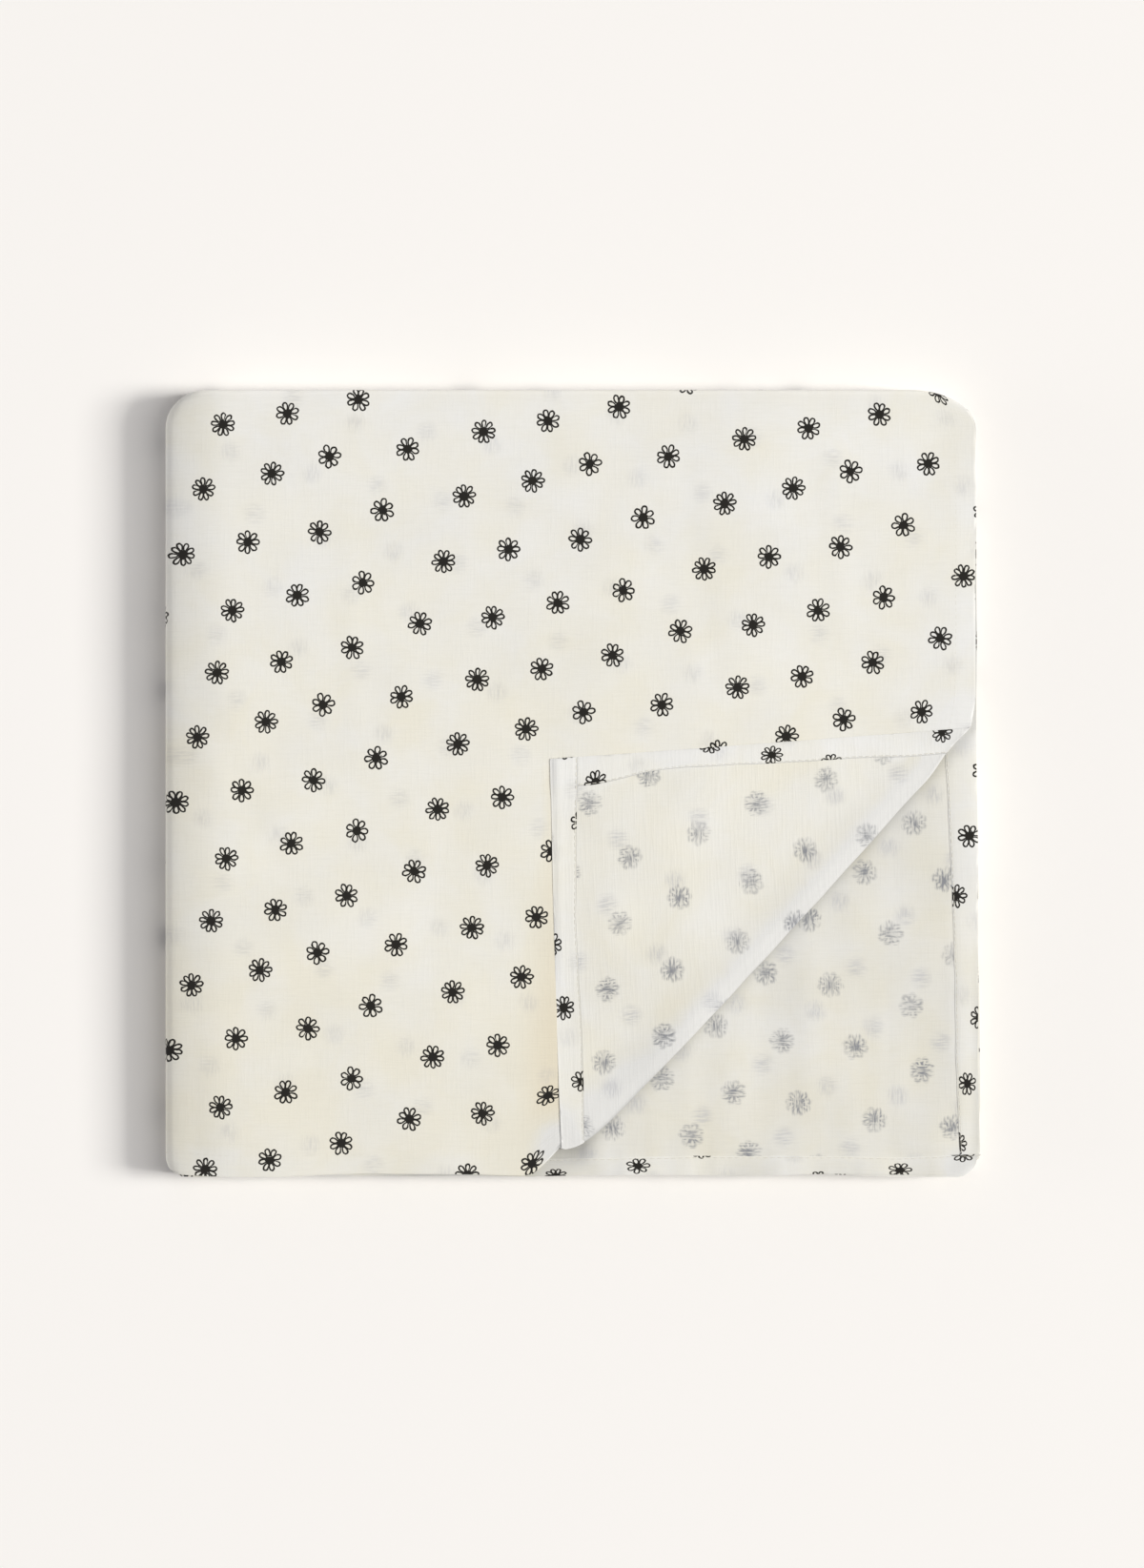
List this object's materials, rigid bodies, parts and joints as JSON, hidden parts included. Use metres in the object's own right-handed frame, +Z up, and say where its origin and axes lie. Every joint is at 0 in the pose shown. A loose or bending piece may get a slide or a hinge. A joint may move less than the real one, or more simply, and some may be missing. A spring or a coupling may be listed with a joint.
{
  "type": "folded swaddle blanket",
  "caption": "Square cotton muslin swaddle blanket with turned hems, folded into a flat pile with its top front corner turned back.",
  "frame": {"origin": "middle of the pile's bounding box in plan, on the plane of its underside", "axes": "+Z up through the pile, +X towards the pile's right hems, away from its thick left fold, +Y towards its back fold"},
  "size_m": [0.3012, 0.2904, 0.023],
  "materials": {
    "printed_cotton_muslin": "ivory plain-weave cotton with a small black daisy print on one side, matt and slightly sheer"
  },
  "bodies": {
    "root": {"muslin_cloth": "printed_cotton_muslin"}
  },
  "joints": []
}
